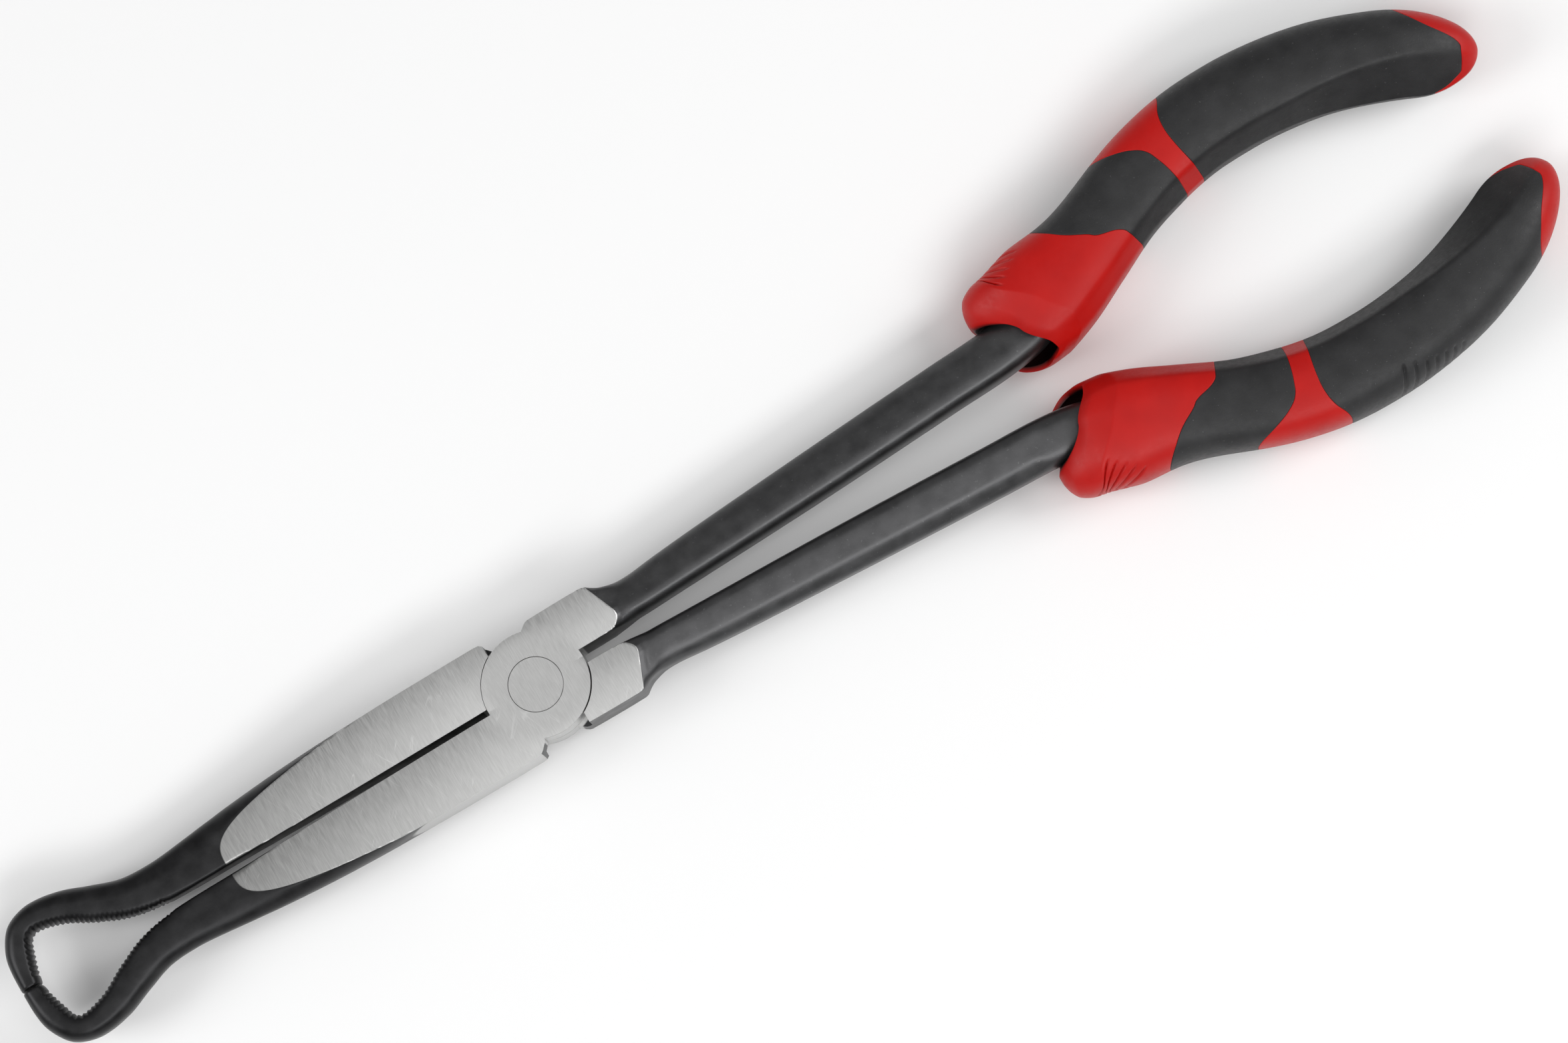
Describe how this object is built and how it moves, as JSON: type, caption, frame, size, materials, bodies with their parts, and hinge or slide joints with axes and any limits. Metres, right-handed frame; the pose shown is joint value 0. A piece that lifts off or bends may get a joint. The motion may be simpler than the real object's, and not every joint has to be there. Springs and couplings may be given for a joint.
{
  "type": "hose grip pliers",
  "caption": "Long straight pliers with ring-shaped toothed jaw tips, a flush riveted lap joint, slim forged shanks and curved two-colour comfort grips.",
  "frame": {"origin": "on the rivet's axis, in the lower ground face of the joint", "axes": "+X from the jaws to the handles along the tool's centre line, +Y towards lever_a's handle, +Z along the rivet's axis, out of the upper ground face"},
  "size_m": [0.2814, 0.0628, 0.0158],
  "materials": {
    "black_steel": "black oxide on forged steel, satin, with the joint and jaw flats ground bright",
    "ground_steel": "ground flush with the joint, fine cross grain",
    "red_plastic": "moulded, satin",
    "black_rubber": "soft moulded thermoplastic rubber, matt"
  },
  "bodies": {
    "lever_a_body": {"lever_a": "black_steel", "rivet": "ground_steel", "grip_core_a": "red_plastic", "grip_front_panel_a": "black_rubber", "grip_rear_panel_a": "black_rubber"},
    "lever_b_body": {"lever_b": "black_steel", "grip_core_b": "red_plastic", "grip_front_panel_b": "black_rubber", "grip_rear_panel_b": "black_rubber"}
  },
  "joints": [
    {"name": "pivot", "type": "hinge", "parent": "lever_a_body", "child": "lever_b_body", "pos_m": [0, 0, 0.005], "axis": [0, 0, -1], "range_deg": [0, 42]}
  ]
}
